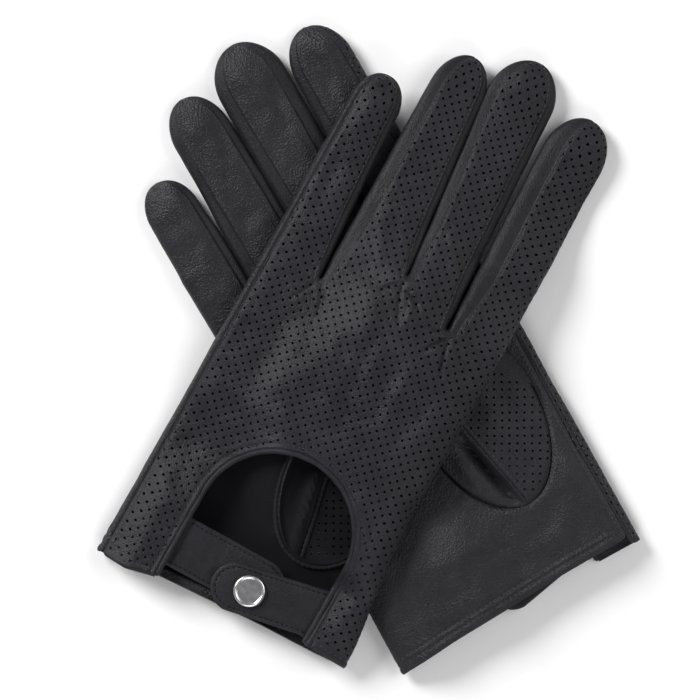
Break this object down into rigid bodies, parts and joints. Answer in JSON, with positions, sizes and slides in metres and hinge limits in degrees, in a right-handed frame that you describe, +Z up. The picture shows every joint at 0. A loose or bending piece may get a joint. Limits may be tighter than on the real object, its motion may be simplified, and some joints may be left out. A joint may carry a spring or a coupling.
{
  "type": "pair of leather driving gloves",
  "caption": "Pair of unlined leather driving gloves, perforated backs, wrist cut-out with snap strap, lying crossed.",
  "frame": {"origin": "middle of the pair's outline, on the surface that the gloves lie on", "axes": "+Z up off that surface, +Y from the cuffs to the fingertips of the crossed pair, +X across it towards the right glove's cuff"},
  "size_m": [0.2088, 0.2508, 0.0287],
  "materials": {
    "perforated_leather": "satin, perforated",
    "smooth_leather": "satin, fine grain",
    "trim_leather": "satin, fine grain",
    "snap_metal": "satin dish, polished rim"
  },
  "bodies": {
    "right_glove": {"right_back_panel": "perforated_leather", "right_palm_panel": "smooth_leather", "right_fourchette_little_ring": "smooth_leather", "right_fourchette_ring_middle": "smooth_leather", "right_fourchette_middle_index": "smooth_leather", "right_thumb_front": "smooth_leather", "right_thumb_back": "perforated_leather", "right_keyhole_binding": "trim_leather", "right_stud_strap": "trim_leather", "right_tab_anchor": "trim_leather", "right_snap_stud": "snap_metal", "right_stud_post": "snap_metal"},
    "left_glove": {"left_back_panel": "perforated_leather", "left_palm_panel": "smooth_leather", "left_fourchette_little_ring": "smooth_leather", "left_fourchette_ring_middle": "smooth_leather", "left_fourchette_middle_index": "smooth_leather", "left_thumb_front": "smooth_leather", "left_thumb_back": "perforated_leather", "left_keyhole_binding": "trim_leather", "left_stud_strap": "trim_leather", "left_tab_anchor": "trim_leather", "left_snap_stud": "snap_metal", "left_stud_post": "snap_metal"},
    "left_tab": {"left_snap_tab": "trim_leather", "left_tab_lining": "trim_leather", "left_snap_cap": "snap_metal", "left_snap_socket": "snap_metal"},
    "right_tab": {"right_snap_tab": "trim_leather", "right_tab_lining": "trim_leather", "right_snap_cap": "snap_metal", "right_snap_socket": "snap_metal"}
  },
  "joints": [
    {"name": "left_glove_lift", "type": "slide", "parent": "right_glove", "child": "left_glove", "axis": [0, 0, 1], "range_m": [0, 0.08]},
    {"name": "left_tab_hinge", "type": "hinge", "parent": "left_glove", "child": "left_tab", "pos_m": [-0.02395, -0.10131, 0.01095], "axis": [0.4894, 0.8721, 0], "range_deg": [0, 130]},
    {"name": "right_tab_hinge", "type": "hinge", "parent": "right_glove", "child": "right_tab", "pos_m": [0.07794, -0.07205, 0.00225], "axis": [0.4848, -0.8746, 0], "range_deg": [0, 130]}
  ]
}
